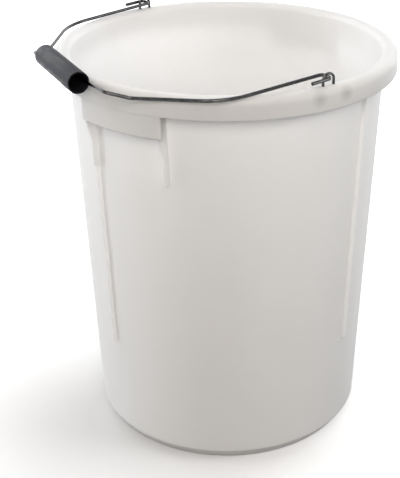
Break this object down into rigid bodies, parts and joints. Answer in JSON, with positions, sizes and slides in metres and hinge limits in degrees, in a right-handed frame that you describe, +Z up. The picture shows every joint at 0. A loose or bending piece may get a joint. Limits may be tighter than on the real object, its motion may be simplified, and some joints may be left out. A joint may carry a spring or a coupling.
{
  "type": "plasterer's mixing bucket",
  "caption": "Tall round translucent white plastic mixing bucket with a skirted rim, tipping handles and a hooked wire bail that carries a loose black tube grip.",
  "frame": {"origin": "on the floor under the middle of the base", "axes": "+Z up out of the mouth; +X along the bail's pivot line, through staple_right; the bail lies towards -Y at rest"},
  "size_m": [0.33, 0.3515, 0.4105],
  "materials": {
    "white_plastic": "satin, slightly translucent",
    "zinc_wire": "bright zinc plate",
    "black_plastic": "satin"
  },
  "bodies": {
    "bucket": {"bucket_body": "white_plastic", "staple_right": "zinc_wire", "staple_left": "zinc_wire"},
    "bail": {"bail_wire": "zinc_wire"},
    "grip": {"grip_tube": "black_plastic"}
  },
  "joints": [
    {"name": "bail_swing", "type": "hinge", "parent": "bucket", "child": "bail", "pos_m": [0, 0, 0.403], "axis": [-1, 0, 0], "range_deg": [0, 182]},
    {"name": "grip_spin", "type": "hinge", "parent": "bail", "child": "grip", "pos_m": [-0.0067, -0.17222, 0.3994], "axis": [0.9942, -0.1045, -0.0262], "continuous": true}
  ]
}
